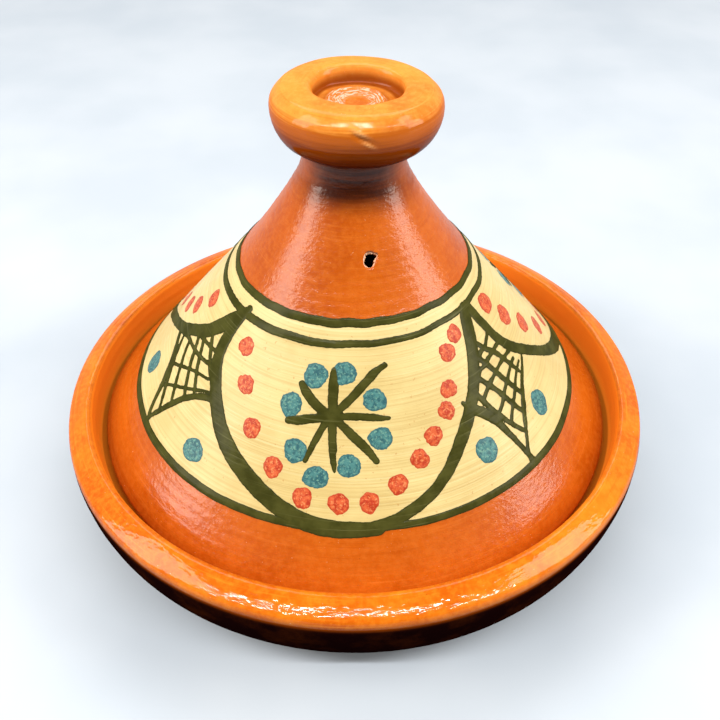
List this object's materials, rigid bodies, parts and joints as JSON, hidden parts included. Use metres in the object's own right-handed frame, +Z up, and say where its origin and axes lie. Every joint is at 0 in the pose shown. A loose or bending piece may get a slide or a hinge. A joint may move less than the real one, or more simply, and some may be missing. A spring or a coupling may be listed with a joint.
{
  "type": "tagine pot",
  "caption": "Round terracotta cooking dish with a rolled rim, and a conical lift-off lid with a small vent hole, a recessed round knob and a painted band.",
  "frame": {"origin": "centre of the dish's flat foot, on the surface the pot stands on", "axes": "+Z up the axis of the cone, -Y towards the front, where the vent hole is, +X to the right seen from the front"},
  "size_m": [0.27, 0.27, 0.1978],
  "materials": {
    "dish_terracotta": "clear gloss over orange terracotta, sparkling broken highlights on the rim",
    "lid_terracotta": "burnished satin terracotta with a cream slip band and brushed olive, red and blue decoration",
    "knob_terracotta": "lighter orange terracotta under a clear gloss, with turning lines",
    "cream_slip": "satin cream slip band painted on the lid, with fine ochre banding lines",
    "olive_paint": "satin olive-green brushwork on the slip",
    "red_paint": "matt coral-red dabs on the slip",
    "blue_paint": "matt teal-blue dabs on the slip"
  },
  "bodies": {
    "dish": {"dish": "dish_terracotta"},
    "lid": {"lid": "lid_terracotta", "lid_knob": "knob_terracotta"}
  },
  "joints": [
    {"name": "lid_lift", "type": "slide", "parent": "dish", "child": "lid", "axis": [0, 0, 1], "range_m": [0, 0.25]}
  ]
}
